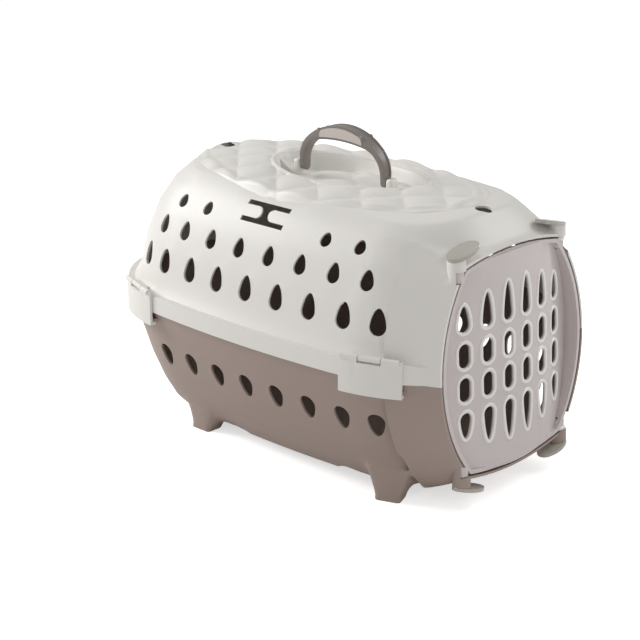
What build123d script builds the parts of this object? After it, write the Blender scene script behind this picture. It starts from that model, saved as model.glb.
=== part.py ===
from build123d import *
import math
import os

# Small pet carrier: two moulded half shells clipped together, a smoked clear door on four
# corner pins, four rim clips and a carry handle that folds into a well in the roof.
# Frame: origin on the ground under the middle, +X to the door, +Z up. Millimetres.

# Body in plan, measured on the outer face of the rim band
BODY_HALF_WIDTH = 165.0
SIDE_BOW_RADIUS = 1350.0
FRONT_CORNER_START = 147.0
FRONT_CORNER_RADIUS = BODY_HALF_WIDTH - 20.0
NOSE_RADIUS = 300.0
REAR_CORNER_START = 124.0
REAR_CORNER_RADIUS = BODY_HALF_WIDTH - 23.5
TAIL_RADIUS = 290.0

# Heights and wall
FLOOR_Z = 12.0
SPLIT_Z = 141.5
BAND_HEIGHT = 18.5
BAND_LEDGE = 7.0
WALL = 2.5
SEAM_GAP = 0.3
TONGUE_FRONT = 205.0
FAR = 1000.0

# Roof crown and its quilted panel
CROWN_Z = 295.0
CROWN_X = -20.0
CROWN_SIDE_RADIUS = 440.0
CROWN_LENGTH_RADIUS = 2500.0
CROWN_LOW_Z = 100.0
CROWN_SWING = 8.0
PANEL_LENGTH = 356.0
PANEL_WIDTH = 186.0
PANEL_END_RADIUS = 62.0
PANEL_X = -4.0
PANEL_DEPTH = 2.4
QUILT_PITCH = 42.0
PILLOW_RISE = 2.2
PILLOW_BLOCK = 16.0
PILLOW_OVERLAP = 1.0

# Handle well
WELL_LENGTH = 192.0
WELL_WIDTH = 118.0
WELL_END_RADIUS = 40.0
WELL_Y = 9.0
WELL_DEPTH = 21.0
WELL_SLOPE = 12.0

# Door opening and door
DOOR_X = 240.5
DOOR_Z = 143.0
DOOR_LEAN = 3.4
DOOR_HALF_WIDTH = 111.3
DOOR_HALF_HEIGHT = 111.5
DOOR_SIDE_RADIUS = 160.0
DOOR_TOP_RADIUS = 346.0
DOOR_GAP = 2.0
DOOR_SHEET = 2.4
DOOR_RIM = 4.0
DOME_RADIUS = 290.0
DOME_RISE = 4.0
COLLAR_LIP = 2.8
COLLAR_FLARE = 24.0
COLLAR_DEPTH = 52.0

# Corner pins
PIN_Y = DOOR_HALF_WIDTH - 31.3
PIN_SETBACK = 6.5
PIN_RADIUS = 3.5
PIN_CLEARANCE = 0.06
PIN_MOUTH = 0.9
EAR_RADIUS = 6.8
EAR_HEIGHT = 10.5
EAR_ROOM = 9.0
EAR_CLEARANCE = 0.8
BOSS_RADIUS = 9.2
BOSS_HEIGHT = 11.5
BOSS_GAP = 0.6
RELIEF_RADIUS = 12.5
RELIEF_DROP = 21.0
HEAD_LENGTH = 40.0
HEAD_WIDTH = 25.0
HEAD_END_RADIUS = 9.5
HEAD_THICK = 3.6
HEAD_TILT = 14.0
HEAD_SHIFT = 11.0

# Rim clips
CLIP_LENGTH = 66.0
CLIP_BOTTOM_Z = 127.0
CLIP_THICK = 2.6
CLIP_GAP = 0.4
CLIP_HOOK = 3.2
CLIP_HOOK_REACH = 3.0
CLIP_AXIS_Z = 163.6
CLIP_KNUCKLE = 3.2
CLIP_KNUCKLE_SHORT = 6.0
CLIP_AXIS_N = CLIP_GAP + CLIP_THICK - CLIP_KNUCKLE - 0.8
CLIP_STUB = 1.6
CLIP_STUB_REACH = 4.5
CLIP_CLEARANCE = 0.05
CLIP_NOTCH = 25.0
CLIP_WEB_ROOM = 1.0
CLIP_ROOT = 1.0
CLIP_FRONT_ANGLE = 19.6
CLIP_REAR_ANGLE = 19.0
CATCH_HEIGHT = 3.0
CATCH_SINK = 0.2

# Carry handle
HANDLE_X = 9.0
HANDLE_HALF = 61.5
HANDLE_AXIS_Z = 288.0
HANDLE_RISE = 52.5
HANDLE_LEG = 8.0
HANDLE_SHOULDER = 34.0
HANDLE_INNER_SHOULDER = 26.0
HANDLE_LEG_THICK = 7.0
HANDLE_GRIP_THICK = 16.0
HANDLE_WIDTH = 15.0
HANDLE_FOOT_WIDTH = 9.0
HANDLE_GROOVE = 1.0
HANDLE_EDGE = 2.0
HANDLE_SIDE_GAP = 0.5
GRIP_LENGTH = 60.0
GRIP_INSET = 2.5
GRIP_PROUD = 0.7
HANDLE_STUB_RADIUS = 3.0
HANDLE_STUB_LENGTH = 6.0
HANDLE_SEAT_RADIUS = 6.5
HANDLE_CLEARANCE = 0.06

# Vents
VENT_PITCH = 44.0
VENT_FIRST = 5.8
LOWER_VENT = (87.0, 19.0, 30.0)
UPPER_VENTS = [(196.5, 18.0, 29.5), (232.0, 15.5, 23.0), (258.0, 13.5, 17.0)]
TEAR_TIP_RADIUS = 2.4
SLOT_X = 2.0
SLOT_Z = 266.0
SLOT_LENGTH = 60.0
SLOT_HEIGHT = 24.5
SLOT_STEM = 10.0
SLOT_BAR = 5.5

# Strap holes at the two ends of the roof, each a distance along from the middle and a tilt
STRAP_HOLE_RADIUS = 8.5
STRAP_HOLES = [(196.0, 24.0), (-170.0, -20.0)]

# Holes through the door
DOOR_HOLE_PITCH = 29.0
DOOR_HOLE_WIDTH = 14.0
DOOR_TEAR_START = 41.0
DOOR_TEAR_INNER_TIP = 82.5
DOOR_TEAR_DROPS = (0.0, 5.0, 14.0)
DOOR_OVAL_V = 17.3
DOOR_OVAL_HEIGHT = 25.0

# Feet
FOOT_FRONT_X = 170.0
FOOT_FRONT_Y = 105.0
FOOT_REAR_X = -99.0
FOOT_REAR_Y = 109.0
FOOT_LENGTH = 27.0
FOOT_WIDTH = 21.0
FOOT_TOP_Z = 38.0
FOOT_SPREAD = 12.0
FOOT_CORNER = 4.0

BAND_TOP_Z = SPLIT_Z + BAND_HEIGHT
# Each pair is a height and how far the wall there stands inside the band's face
UPPER_PROFILE = [
    (BAND_TOP_Z + 10.0, 13.5), (BAND_TOP_Z + 48.0, 22.5), (BAND_TOP_Z + 84.0, 37.5),
    (BAND_TOP_Z + 108.0, 54.5), (BAND_TOP_Z + 124.0, 73.0), (BAND_TOP_Z + 136.0, 97.0),
]
LOWER_PROFILE = [
    (FLOOR_Z, 56.0), (FLOOR_Z + 12.0, 46.0), (FLOOR_Z + 32.0, 35.0),
    (FLOOR_Z + 62.0, 23.0), (SPLIT_Z - SEAM_GAP, WALL + SEAM_GAP),
]
TONGUE_TOP_Z = BAND_TOP_Z - WALL - SEAM_GAP


def corner(start, radius, sign):
    """Centre and start angle of a corner arc that leaves the bowed side tangentially."""
    angle = math.asin(start / SIDE_BOW_RADIUS)
    side_y = SIDE_BOW_RADIUS - BODY_HALF_WIDTH
    x = (start - radius * math.sin(angle)) * sign
    y = side_y - (SIDE_BOW_RADIUS - radius) * math.cos(angle)
    return x, y, angle


def end_cap(centre_x, centre_y, corner_radius, cap_radius, sign):
    """Centre and half angle of the arc that closes one end between its two corner arcs."""
    reach = cap_radius - corner_radius
    half_angle = math.asin(-centre_y / reach)
    return centre_x - sign * reach * math.cos(half_angle), half_angle


FRONT_C = corner(FRONT_CORNER_START, FRONT_CORNER_RADIUS, 1)
REAR_C = corner(REAR_CORNER_START, REAR_CORNER_RADIUS, -1)
NOSE_C = end_cap(FRONT_C[0], FRONT_C[1], FRONT_CORNER_RADIUS, NOSE_RADIUS, 1)
TAIL_C = end_cap(REAR_C[0], REAR_C[1], REAR_CORNER_RADIUS, TAIL_RADIUS, -1)


def polar(cx, cy, radius, degrees_from_side, sign):
    """Point of an arc, at an angle from the side's outward direction (-Y) towards an end."""
    return cx + sign * radius * math.sin(degrees_from_side), cy - radius * math.cos(degrees_from_side)


def outline(inset, z):
    """Closed plan outline of the body, inset from the band's outer face, at one height."""
    side_c = SIDE_BOW_RADIUS - BODY_HALF_WIDTH
    side_r = SIDE_BOW_RADIUS - inset
    front_r, rear_r = FRONT_CORNER_RADIUS - inset, REAR_CORNER_RADIUS - inset
    nose_r, tail_r = NOSE_RADIUS - inset, TAIL_RADIUS - inset
    quarter = math.pi / 2
    front_end, rear_end = quarter - NOSE_C[1], quarter - TAIL_C[1]
    near = [
        polar(REAR_C[0], REAR_C[1], rear_r, rear_end, -1),
        polar(REAR_C[0], REAR_C[1], rear_r, (rear_end + REAR_C[2]) / 2, -1),
        polar(0, side_c, side_r, REAR_C[2], -1),
        polar(0, side_c, side_r, 0, 1),
        polar(0, side_c, side_r, FRONT_C[2], 1),
        polar(FRONT_C[0], FRONT_C[1], front_r, (front_end + FRONT_C[2]) / 2, 1),
        polar(FRONT_C[0], FRONT_C[1], front_r, front_end, 1),
    ]
    far = [(x, -y) for x, y in near]
    nose = (NOSE_C[0] + nose_r, 0)
    tail = (TAIL_C[0] - tail_r, 0)
    arcs = [
        (near[0], near[1], near[2]), (near[2], near[3], near[4]), (near[4], near[5], near[6]),
        (near[6], nose, far[6]),
        (far[6], far[5], far[4]), (far[4], far[3], far[2]), (far[2], far[1], far[0]),
        (far[0], tail, near[0]),
    ]
    return Wire([ThreePointArc(*[(x, y, z) for x, y in arc]) for arc in arcs])


def stack(levels):
    """Solid of drafted bands through the outline at each (height, inset) pair."""
    return Solid.make_loft([outline(inset, z) for z, inset in levels], True)


def prism(inset, low, high):
    """Straight sided solid of the outline between two heights."""
    return extrude(Face(outline(inset, low)), amount=high - low, dir=(0, 0, 1))


def profile_inset(profile, z):
    """Inset of the wall at a height, read off straight lines between the profile's levels."""
    for (z0, i0), (z1, i1) in zip(profile, profile[1:]):
        if z <= z1:
            return i0 + (i1 - i0) * (z - z0) / (z1 - z0)
    return profile[-1][1]


UP = (Align.CENTER, Align.CENTER, Align.MIN)
DOWN = (Align.CENTER, Align.CENTER, Align.MAX)
FRONT_DOWN = (Align.MIN, Align.CENTER, Align.MAX)
DOOR_PLACE = Location((DOOR_X, 0, DOOR_Z), (0, -DOOR_LEAN, 0))
BEHIND_DOOR = 40.0


def barrel(grow=0.0):
    """The door's barrel shaped outline in its own plane, grown evenly."""
    side = Circle(DOOR_SIDE_RADIUS + grow)
    top = Circle(DOOR_TOP_RADIUS + grow)
    side_shift = DOOR_SIDE_RADIUS - DOOR_HALF_WIDTH
    top_shift = DOOR_TOP_RADIUS - DOOR_HALF_HEIGHT
    shape = Pos(side_shift, 0) * side & Pos(-side_shift, 0) * side
    return shape & Pos(0, top_shift) * top & Pos(0, -top_shift) * top


def door_prism(grow, back, front, taper=0.0):
    """Barrel shaped solid square to the door plane, from one depth to another."""
    face = Plane.YZ.offset(front) * barrel(grow)
    return DOOR_PLACE * extrude(face, amount=back - front, taper=taper)


def front_of_door():
    """Everything in front of the collar's face."""
    return DOOR_PLACE * Pos(FAR / 2, 0, 0) * Box(FAR, FAR, FAR)


def crown(drop=0.0):
    """Solid under the roof's crown: one arc across, swung along a longer one."""
    half, low = BODY_HALF_WIDTH, CROWN_LOW_Z
    fall = CROWN_SIDE_RADIUS - math.sqrt(CROWN_SIDE_RADIUS**2 - half**2)
    top = CROWN_Z - drop
    arc = ThreePointArc((-half, top - fall), (0, top), (half, top - fall))
    sides = Polyline((half, top - fall), (half, low), (-half, low), (-half, top - fall))
    section = Plane.YZ.offset(CROWN_X) * make_face(Sketch() + [arc, sides])
    spin = Axis((CROWN_X, 0, CROWN_Z - CROWN_LENGTH_RADIUS), (0, 1, 0))
    return revolve(section.rotate(spin, -CROWN_SWING), spin, revolution_arc=2 * CROWN_SWING)


def crown_height(x, y):
    """Height and outward normal of the crown over a plan point."""
    tilt_x = math.asin((x - CROWN_X) / CROWN_LENGTH_RADIUS)
    tilt_y = math.asin(y / CROWN_SIDE_RADIUS)
    z = CROWN_Z - CROWN_LENGTH_RADIUS * (1 - math.cos(tilt_x))
    z = z - CROWN_SIDE_RADIUS * (1 - math.cos(tilt_y))
    normal = Vector(math.sin(tilt_x), math.sin(tilt_y), math.cos(tilt_x) * math.cos(tilt_y)).normalized()
    return z, normal


def wall_plane(profile, station, z):
    """Plane on the near wall, facing out, at a distance along the rim from the widest point.

    Positive stations run to the door, negative ones to the tail.
    """
    inset = profile_inset(profile, z)
    slope = math.atan2(profile_inset(profile, z + 1) - profile_inset(profile, z - 1), 2.0)
    centre, radius = (FRONT_C, FRONT_CORNER_RADIUS) if station > 0 else (REAR_C, REAR_CORNER_RADIUS)
    sign = 1 if station > 0 else -1
    along = abs(station)
    straight = SIDE_BOW_RADIUS * centre[2]
    if along <= straight:
        angle = along / SIDE_BOW_RADIUS
        x, y = polar(0, SIDE_BOW_RADIUS - BODY_HALF_WIDTH, SIDE_BOW_RADIUS - inset, angle, sign)
    else:
        angle = centre[2] + (along - straight) / radius
        x, y = polar(centre[0], centre[1], radius - inset, angle, sign)
    out = Vector(sign * math.sin(angle), -math.cos(angle), 0)
    tangent = Vector(math.cos(angle), sign * math.sin(angle), 0)
    return Plane((x, y, z), x_dir=tangent, z_dir=out * math.cos(slope) + Vector(0, 0, math.sin(slope)))


def both_sides(parts):
    """The given near side solids and their mirror images on the far side."""
    return parts + [mirror(part, about=Plane.XZ) for part in parts]


def above(z):
    """Everything above a height."""
    return Pos(0, 0, z + FAR / 2) * Box(FAR, FAR, FAR)


def collar(grow):
    """The door's frame, flaring back from the face into the rounded body."""
    flare = COLLAR_DEPTH * math.tan(math.radians(COLLAR_FLARE))
    grow = grow + DOOR_GAP + COLLAR_LIP
    cones = []
    for radius, half, across in (
        (DOOR_SIDE_RADIUS, DOOR_HALF_WIDTH, True), (DOOR_TOP_RADIUS, DOOR_HALF_HEIGHT, False),
    ):
        cone = Cone(radius + grow + flare, radius + grow, COLLAR_DEPTH, align=DOWN)
        cone = Rot(0, 90, 0) * cone
        for shift in (radius - half, half - radius):
            cones.append(Pos(0, shift if across else 0, 0 if across else shift) * cone)
    return DOOR_PLACE * (cones[0] & cones[1] & cones[2] & cones[3])


def collar_inside():
    """Room inside the collar: a wall's thickness in from its flared outer face."""
    thick = WALL / math.cos(math.radians(COLLAR_FLARE))
    return collar(-thick) + door_prism(DOOR_GAP, -COLLAR_DEPTH, WALL)


def door_edge(y):
    """Height of the door's upper edge above its middle, at a distance across."""
    return DOOR_HALF_HEIGHT - DOOR_TOP_RADIUS + math.sqrt(DOOR_TOP_RADIUS**2 - y**2)


# An upper ear ends where the door's edge clears the boss above it in every position
EAR_TOP = door_edge(PIN_Y - BOSS_RADIUS)


def pin_axis(side, v):
    """Place on the upper or lower end of a door pin's axis, in the door plane's own frame."""
    return Pos(-PIN_SETBACK, side * PIN_Y, v)


def pin_head_place(side):
    """Underside of an upper pin's head, tipped so that it rises to the middle of the door."""
    return pin_axis(side, EAR_TOP + BOSS_GAP + BOSS_HEIGHT) * Rot(-side * HEAD_TILT, 0, 0)


def pin_boss(side):
    """Upper boss that carries a door pin, cut off to the slope of the pin's head.

    The right one runs down past the ear, which leaves it forwards and needs no room beside it.
    """
    low, height = EAR_TOP + BOSS_GAP, 1.5 * BOSS_HEIGHT
    post = pin_axis(side, low) * Cylinder(BOSS_RADIUS, height, align=UP)
    if side < 0:
        skirt = EAR_HEIGHT + BOSS_GAP + WALL
        room = Pos(0, side * PIN_Y, low) * Box(height, height, skirt, align=FRONT_DOWN)
        post = post + (pin_axis(side, low) * Cylinder(BOSS_RADIUS, skirt, align=DOWN) - room)
    size = 4 * BOSS_RADIUS
    return post - pin_head_place(side) * Box(size, size, size, align=UP)


def ear_room(side):
    """Room round an upper ear: a wide one where the door turns, a slot to the front elsewhere."""
    top = EAR_TOP + BOSS_GAP
    if side > 0:
        room = EAR_HEIGHT + RELIEF_DROP
        return pin_axis(side, top - room) * Cylinder(RELIEF_RADIUS, room, align=UP)
    half = EAR_RADIUS + EAR_CLEARANCE
    height = EAR_HEIGHT + BOSS_GAP + EAR_CLEARANCE
    forward = Box(2 * RELIEF_RADIUS, 2 * half, height, align=(Align.MIN, Align.CENTER, Align.MIN))
    return pin_axis(side, top - height) * (Cylinder(half, height, align=UP) + forward)


def pin_bore(side):
    """Hole for the pin through its boss, and the room for the ear below it."""
    bore = Cylinder(PIN_RADIUS + PIN_CLEARANCE, 2 * BOSS_HEIGHT, align=UP)
    return pin_axis(side, EAR_TOP) * bore + ear_room(side)


def door_corners(maker, upper):
    """Both of one half's pin features, in place; the lower ones mirror the upper."""
    made = [maker(side) for side in (-1, 1)]
    if not upper:
        made = [mirror(one, about=Plane.XY) for one in made]
    return [DOOR_PLACE * one for one in made]


def teardrop(width, height):
    """Teardrop with its tip up, centred on its height: two rounds joined by tangent flanks."""
    belly, tip = width / 2, TEAR_TIP_RADIUS
    low, high = belly - height / 2, height / 2 - tip
    lean = math.asin((belly - tip) / (high - low))
    x, y = math.cos(lean), math.sin(lean)
    right = ((belly * x, low + belly * y), (tip * x, high + tip * y))
    left = ((-tip * x, high + tip * y), (-belly * x, low + belly * y))
    edges = [
        ThreePointArc(left[1], (0, -height / 2), right[0]), Line(*right),
        ThreePointArc(right[1], (0, height / 2), left[0]), Line(*left),
    ]
    return make_face(Curve() + edges)


def vent_row(profile, row, stations, turn=0.0):
    """Cutters for one row of teardrop vents along the near wall: its height, then its vents' size."""
    z, width, height = row
    shape = Rot(0, 0, turn) * teardrop(width, height)
    return [extrude(wall_plane(profile, s, z) * shape, amount=4 * WALL, both=True) for s in stations]


def stations(first, last, half=0.0):
    """Distances of a row's vents along the rim, counted in pitches from the middle one."""
    return [VENT_FIRST + VENT_PITCH * (n + half) for n in range(first, last + 1)]


def side_slot():
    """Near side slot: two long bars joined by a stem, as for the end of a strap."""
    tongue = SlotOverall(SLOT_LENGTH, SLOT_HEIGHT - 2 * SLOT_BAR)
    shift = (SLOT_STEM + SLOT_LENGTH) / 2
    shape = Rectangle(SLOT_LENGTH, SLOT_HEIGHT) - Pos(shift, 0) * tongue - Pos(-shift, 0) * tongue
    return extrude(wall_plane(UPPER_PROFILE, SLOT_X, SLOT_Z) * shape, amount=4 * WALL, both=True)


def strap_holes():
    """Round holes square to the roof's falling ends, for the hooks of a shoulder strap."""
    made = []
    for x, tilt in STRAP_HOLES:
        place = Location((x, 0, crown_height(x, 0)[0]), (0, tilt, 0))
        made.append(place * Cylinder(STRAP_HOLE_RADIUS, 10 * WALL))
    return made


def oval(length, width, end_radius, grow=0.0):
    """Oval of four tangent arcs, grown evenly."""
    reach, half = length / 2 - end_radius, width / 2
    side_radius = (reach**2 + half**2 - end_radius**2) / (2 * (half - end_radius))
    apart = side_radius - end_radius
    x = reach + (end_radius + grow) * reach / apart
    y = (end_radius + grow) * (side_radius - half) / apart
    tip, crest = length / 2 + grow, half + grow
    points = [((-x, y), (0, crest), (x, y)), ((x, y), (tip, 0), (x, -y)),
              ((x, -y), (0, -crest), (-x, -y)), ((-x, -y), (-tip, 0), (-x, y))]
    return make_face(Curve() + [ThreePointArc(*three) for three in points])


def panel_prism(grow=0.0):
    """Oval column around the quilted panel."""
    shape = oval(PANEL_LENGTH, PANEL_WIDTH, PANEL_END_RADIUS, grow)
    return extrude(Plane((PANEL_X, 0, CROWN_Z - 2 * WELL_DEPTH)) * shape, amount=4 * WELL_DEPTH)


def bowl(grow, low, high):
    """Oval handle well with sloping sides, grown evenly, between two heights."""
    rings = []
    for z in (low, high):
        reach = grow + (z - CROWN_Z) * math.tan(math.radians(WELL_SLOPE))
        ring = oval(WELL_LENGTH, WELL_WIDTH, WELL_END_RADIUS, reach)
        rings.append(Plane((HANDLE_X, WELL_Y, z)) * ring)
    return loft(rings, ruled=True)


def pillows():
    """Quilted pads: the tops of large balls that meet along seams on both diagonals."""
    corner_reach = QUILT_PITCH / math.sqrt(2)
    radius = (corner_reach**2 + PILLOW_RISE**2) / (2 * PILLOW_RISE)
    side = QUILT_PITCH + PILLOW_OVERLAP
    block = Box(side, side, PILLOW_BLOCK)
    count = math.ceil(PANEL_LENGTH / QUILT_PITCH)
    made = []
    for i in range(-count, count + 1):
        for j in range(-count, count + 1):
            dx, dy = (i - j) * corner_reach, (i + j) * corner_reach
            inside = (2 * dx / (PANEL_LENGTH + QUILT_PITCH))**2
            inside += (2 * dy / (PANEL_WIDTH + QUILT_PITCH))**2
            over_well = (dx + PANEL_X - HANDLE_X)**2 / (WELL_LENGTH / 2 - corner_reach)**2
            over_well += (dy - WELL_Y)**2 / (WELL_WIDTH / 2 - corner_reach)**2
            if inside > 1 or over_well < 1:
                continue
            z, normal = crown_height(PANEL_X + dx, dy)
            centre = Vector(PANEL_X + dx, dy, z) - normal * radius
            ball = Pos(centre.X, centre.Y, centre.Z) * Rot(90, 0, 45) * Sphere(radius)
            made.append(ball & Pos(PANEL_X + dx, dy, z) * Rot(0, 0, 45) * block)
    return made[0].fuse(*made[1:])


def handle_seat(side):
    """Boss on the well's end wall that carries one end of the handle."""
    face = HANDLE_HALF + HANDLE_SIDE_GAP
    length = WELL_LENGTH / 2 - face
    radius = HANDLE_SEAT_RADIUS
    middle = HANDLE_X + side * (face + length / 2)
    drum = Pos(middle, 0, HANDLE_AXIS_Z) * Rot(0, 90, 0) * Cylinder(radius, length)
    return drum + Pos(middle, 0, HANDLE_AXIS_Z) * Box(length, 2 * radius, WELL_DEPTH, align=DOWN)


def handle_bores():
    """Blind holes in the two bosses for the handle's stubs."""
    face = HANDLE_HALF + HANDLE_SIDE_GAP
    length = 2 * (face + HANDLE_STUB_LENGTH)
    bore = Rot(0, 90, 0) * Cylinder(HANDLE_STUB_RADIUS + HANDLE_CLEARANCE, length)
    return Pos(HANDLE_X, 0, HANDLE_AXIS_Z) * (bore - Box(2 * HANDLE_HALF, HANDLE_WIDTH, HANDLE_WIDTH))


def clip_frame(sign, side):
    """Place of a rim clip: X along the rim, Y out, Z up, on the band's face at its middle."""
    centre, radius = (FRONT_C, FRONT_CORNER_RADIUS) if sign > 0 else (REAR_C, REAR_CORNER_RADIUS)
    angle = math.radians(CLIP_FRONT_ANGLE if sign > 0 else CLIP_REAR_ANGLE)
    x, y = polar(centre[0], centre[1], radius, angle, sign)
    out = Vector(sign * math.sin(angle), side * math.cos(angle), 0)
    return Plane((x, -side * y, 0), x_dir=(out.Y, -out.X, 0), z_dir=(0, 0, 1))


def rim_sector(radius, inner, outer, low, high):
    """Curved strip along the rim, as long as a clip, between two offsets from the band's face."""
    ring = Circle(radius + outer) - Circle(radius + inner)
    strip = Pos(0, -radius) * ring & Rectangle(CLIP_LENGTH, radius)
    return extrude(Plane((0, 0, low)) * strip, amount=high - low)


def clip_radius(sign):
    """Radius of the rim's corner that a front or rear clip follows."""
    return FRONT_CORNER_RADIUS if sign > 0 else REAR_CORNER_RADIUS


def rod(radius, length, n, z):
    """Cylinder along the rim, centred on a clip."""
    return Pos(0, n, z) * Rot(0, 90, 0) * Cylinder(radius, length)


def clip(sign):
    """Rim clip in its own place: curved plate, hook at the foot, split knuckle at the head."""
    radius = clip_radius(sign)
    outer = CLIP_GAP + CLIP_THICK
    top = CLIP_AXIS_Z + CLIP_KNUCKLE / 2
    plate = rim_sector(radius, CLIP_GAP, outer, CLIP_BOTTOM_Z, top)
    hook = rim_sector(radius, -CLIP_HOOK_REACH, outer, CLIP_BOTTOM_Z, CLIP_BOTTOM_Z + CLIP_HOOK)
    knuckle = rod(CLIP_KNUCKLE, CLIP_LENGTH - CLIP_KNUCKLE_SHORT, CLIP_AXIS_N, CLIP_AXIS_Z)
    notch = Pos(0, 0, BAND_TOP_Z - SEAM_GAP) * Box(CLIP_NOTCH, CLIP_NOTCH, CLIP_NOTCH, align=UP)
    reach = 2 * (CLIP_NOTCH / 2 + CLIP_STUB_REACH)
    bore = rod(CLIP_STUB + CLIP_CLEARANCE, reach, CLIP_AXIS_N, CLIP_AXIS_Z)
    return plate + hook + knuckle - notch - bore


def clip_web(sign):
    """Middle knuckle with its two stubs, standing on the rim of the upper shell."""
    length = CLIP_NOTCH - 2 * CLIP_WEB_ROOM
    root_z = BAND_TOP_Z - CLIP_ROOT
    height = CLIP_AXIS_Z - root_z
    depth = BAND_LEDGE + WALL + CLIP_ROOT
    web = Pos(0, CLIP_AXIS_N - depth / 2, root_z) * Box(length, depth, height, align=UP)
    back = -CLIP_KNUCKLE - CLIP_GAP - SEAM_GAP
    post = Pos(0, back, root_z) * Box(length, 2 * CLIP_KNUCKLE, height, align=UP)
    barrel_rod = rod(CLIP_KNUCKLE, length, CLIP_AXIS_N, CLIP_AXIS_Z)
    stub_length = CLIP_NOTCH + 2 * CLIP_STUB_REACH - CLIP_WEB_ROOM
    return web + post + barrel_rod + rod(CLIP_STUB, stub_length, CLIP_AXIS_N, CLIP_AXIS_Z)


def catch(sign):
    """Rib on the lower shell that a clip's hook sits under."""
    low = CLIP_BOTTOM_Z + CLIP_HOOK + CLIP_GAP
    return rim_sector(clip_radius(sign), -4 * WALL, -CATCH_SINK, low, low + CATCH_HEIGHT)


def foot(x, y, angle):
    """One foot: a small pad that spreads upwards into the sloping wall."""
    place = Location((x, -y, 0), (0, 0, math.degrees(angle)))
    pad = Rectangle(FOOT_LENGTH, FOOT_WIDTH)
    spread = 2 * FOOT_SPREAD
    top = Pos(0, FOOT_SPREAD, 0) * Rectangle(FOOT_LENGTH + spread, FOOT_WIDTH + spread)
    block = loft([Plane.XY * pad, Plane((0, 0, FOOT_TOP_Z)) * top], ruled=True)
    rising = [edge for edge in block.edges() if abs(edge.tangent_at(0.5).Z) > 0.5]
    return place * fillet(rising, FOOT_CORNER)


def feet():
    """The near pair of feet."""
    lean = math.asin((FOOT_FRONT_X - FRONT_C[0]) / (FRONT_CORNER_RADIUS - LOWER_PROFILE[2][1]))
    return [foot(FOOT_FRONT_X, FOOT_FRONT_Y, lean), foot(FOOT_REAR_X, FOOT_REAR_Y, 0.0)]


def lower_shell():
    """Lower half: tub with feet, vents, clip catches, lower collar and pin bosses."""
    top = (TONGUE_TOP_Z, WALL + SEAM_GAP)
    outer = stack(LOWER_PROFILE + [top])
    outer = outer.fuse(*both_sides(feet()))
    inner_low = (FLOOR_Z + WALL, profile_inset(LOWER_PROFILE, FLOOR_Z + WALL) + WALL)
    inner = stack([inner_low] + [(z, i + WALL) for z, i in LOWER_PROFILE[1:]]
                  + [(BAND_TOP_Z, 2 * WALL + SEAM_GAP)])
    over = above(SPLIT_Z - SEAM_GAP)
    front = Pos(TONGUE_FRONT + FAR / 2, 0, 0) * Box(FAR, FAR, FAR) & over
    ribs = [clip_frame(s, side).location * catch(s) for s in (1, -1) for side in (-1, 1)]
    shell = outer.fuse(*ribs) - front
    shell = shell + (collar(0) - over)
    shell = shell - inner - collar_inside() - front_of_door()
    shell = shell + [boss - collar_inside() for boss in door_corners(pin_boss, False)]
    vents = vent_row(LOWER_PROFILE, LOWER_VENT, stations(-3, 4), 180)
    return shell - door_corners(pin_bore, False) - both_sides(vents)


def upper_shell():
    """Upper half: band, domed and quilted roof with its handle well, collar and bosses."""
    dome = stack([(BAND_TOP_Z, BAND_LEDGE)] + UPPER_PROFILE) & crown()
    under = above(SPLIT_Z)
    recess = panel_prism() - crown(PANEL_DEPTH)
    roof = dome - recess + (pillows() & panel_prism() & dome)
    skirt = prism(0, SPLIT_Z, BAND_TOP_Z)
    inner = stack([(SPLIT_Z, BAND_LEDGE + WALL)] + [(z, i + WALL) for z, i in UPPER_PROFILE])
    inner = inner & (crown(WALL) - (panel_prism(WALL) - crown(WALL + PANEL_DEPTH)))
    inner = inner + prism(WALL, SPLIT_Z, BAND_TOP_Z - WALL)
    floor_z = CROWN_Z - WELL_DEPTH + SEAM_GAP
    inner = inner - bowl(WALL, floor_z - WALL, CROWN_Z + WALL)
    well = bowl(0, floor_z, CROWN_Z + 2 * WALL)
    shell = roof + skirt + (collar(0) & under)
    shell = shell - inner - well - collar_inside() - front_of_door()
    seat_room = bowl(WALL / 2, floor_z - WALL / 2, CROWN_Z)
    shell = shell + [handle_seat(side) & seat_room for side in (-1, 1)]
    shell = shell + [clip_frame(s, side).location * clip_web(s) for s in (1, -1) for side in (-1, 1)]
    shell = shell + [boss - collar_inside() for boss in door_corners(pin_boss, True)]
    rows = [
        vent_row(UPPER_PROFILE, UPPER_VENTS[0], stations(-4, 4)),
        vent_row(UPPER_PROFILE, UPPER_VENTS[1], stations(-4, 3, 0.5)),
        vent_row(UPPER_PROFILE, UPPER_VENTS[2], stations(-3, -2) + stations(2, 3)),
        [side_slot()],
    ]
    for row in rows:
        shell = shell - both_sides(row)
    shell = shell - door_corners(pin_bore, True) - handle_bores()
    for hole in strap_holes():
        shell = shell - hole
    return shell


def door_ear(side):
    """Upper hinge or latch ear of the door, solid."""
    return pin_axis(side, EAR_TOP - EAR_HEIGHT) * Cylinder(EAR_RADIUS, EAR_HEIGHT, align=UP)


def ear_hole(side):
    """Round bore through a far ear, or the open mouth of a near one."""
    low = EAR_TOP - EAR_HEIGHT - WALL
    height = EAR_HEIGHT + 2 * WALL
    if side > 0:
        return pin_axis(side, low) * Cylinder(PIN_RADIUS + PIN_CLEARANCE, height, align=UP)
    half = PIN_RADIUS + PIN_MOUTH
    mouth = pin_axis(side, low) * Cylinder(half, height, align=UP)
    slot = Pos(-PIN_SETBACK - RELIEF_RADIUS / 2, side * PIN_Y, low)
    return mouth + slot * Box(RELIEF_RADIUS, 2 * half, height, align=UP)


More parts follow.
